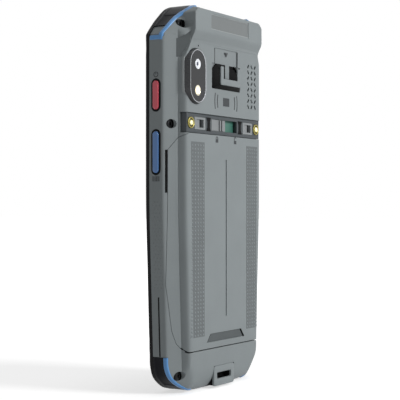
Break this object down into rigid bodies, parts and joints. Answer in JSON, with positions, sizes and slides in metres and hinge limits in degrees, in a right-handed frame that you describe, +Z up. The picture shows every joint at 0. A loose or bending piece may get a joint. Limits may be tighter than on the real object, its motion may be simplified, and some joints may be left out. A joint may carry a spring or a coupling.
{
  "type": "handheld barcode data terminal",
  "caption": "Rugged handheld data terminal with a rear camera, strap hood, accessory strip with latch, hinged battery cover, side scan and power keys and a full front screen.",
  "frame": {"origin": "middle of the foot, at the lowest point of the upright terminal", "axes": "+Z up along the long axis to the scan end, back towards -Y, screen towards +Y, side with the power key at -X"},
  "size_m": [0.0798, 0.0196, 0.1694],
  "materials": {
    "housing_grey": "fine textured",
    "bezel_black": "fine textured",
    "bumper_black": "satin",
    "anchor_black": "satin",
    "camera_black": "satin",
    "accent_blue": "satin",
    "key_red": "satin",
    "key_blue": "satin",
    "key_dark": "satin",
    "front_glass": "polished",
    "camera_glass": "polished",
    "display_black": "polished",
    "frame_alloy": "cast",
    "board_green": "solder mask",
    "shield_steel": "plated",
    "coil_copper": "etched foil",
    "inner_black": "moulded",
    "mesh_black": "woven",
    "lens_black": "polished",
    "flash_cream": "clear",
    "scan_window": "polished",
    "strip_dark": "fine textured",
    "contact_gold": "gold plated",
    "hook_light": "satin",
    "latch_green": "satin",
    "latch_grey": "satin",
    "foam_dark": "foamed",
    "battery_dark": "film wrapped",
    "screw_black": "blackened",
    "switch_cream": "moulded"
  },
  "bodies": {
    "housing": {"front_glass": "front_glass", "display_panel": "display_black", "front_bezel": "bezel_black", "earpiece": "inner_black", "front_camera": "lens_black", "mid_frame": "frame_alloy", "main_board": "board_green", "board_shields": "shield_steel", "lower_board": "board_green", "usb_port": "shield_steel", "vibration_motor": "shield_steel", "rear_housing": "housing_grey", "nfc_antenna": "coil_copper", "loudspeaker": "inner_black", "speaker_mesh": "mesh_black", "camera_bezel": "camera_black", "camera_glass": "camera_glass", "camera_module": "lens_black", "flash_led": "flash_cream", "scan_engine": "inner_black", "scan_window": "scan_window", "strap_anchor_base": "anchor_black", "strap_anchor_cap": "housing_grey", "strap_loop": "housing_grey", "contact_strip": "strip_dark", "strip_contacts": "contact_gold", "hook_frames": "hook_light", "latch_floor": "latch_green", "battery_pack": "battery_dark", "battery_contacts": "contact_gold", "bay_seal": "foam_dark", "top_bumpers": "bumper_black", "top_accents": "accent_blue", "foot_bumpers": "bumper_black", "foot_accents": "accent_blue", "housing_screws": "screw_black", "key_switches": "switch_cream"},
    "cover": {"battery_cover": "housing_grey", "cover_pad": "foam_dark"},
    "latch": {"latch_slider": "latch_grey"},
    "power_button": {"power_key": "key_red"},
    "scan_button_right": {"scan_key_right": "key_blue"},
    "scan_button_left": {"scan_key_left": "key_blue"},
    "volume_up_button": {"volume_up_key": "key_dark"},
    "volume_down_button": {"volume_down_key": "key_dark"}
  },
  "joints": [
    {"name": "cover_hinge", "type": "hinge", "parent": "housing", "child": "cover", "pos_m": [0, -0.00585, 0.0199], "axis": [1, 0, 0], "range_deg": [0, 55]},
    {"name": "latch_slide", "type": "slide", "parent": "housing", "child": "latch", "axis": [1, 0, 0], "range_m": [0, 0.0097]},
    {"name": "power_press", "type": "slide", "parent": "housing", "child": "power_button", "axis": [1, 0, 0], "range_m": [0, 0.0004], "stiffness_N_per_m": 500, "springref_m": -0.002},
    {"name": "scan_press_right", "type": "slide", "parent": "housing", "child": "scan_button_right", "axis": [1, 0, 0], "range_m": [0, 0.0004], "stiffness_N_per_m": 500, "springref_m": -0.002},
    {"name": "scan_press_left", "type": "slide", "parent": "housing", "child": "scan_button_left", "axis": [-1, 0, 0], "range_m": [0, 0.0004], "stiffness_N_per_m": 500, "springref_m": -0.002},
    {"name": "volume_up_press", "type": "slide", "parent": "housing", "child": "volume_up_button", "axis": [-1, 0, 0], "range_m": [0, 0.0004], "stiffness_N_per_m": 500, "springref_m": -0.002},
    {"name": "volume_down_press", "type": "slide", "parent": "housing", "child": "volume_down_button", "axis": [-1, 0, 0], "range_m": [0, 0.0004], "stiffness_N_per_m": 500, "springref_m": -0.002}
  ]
}
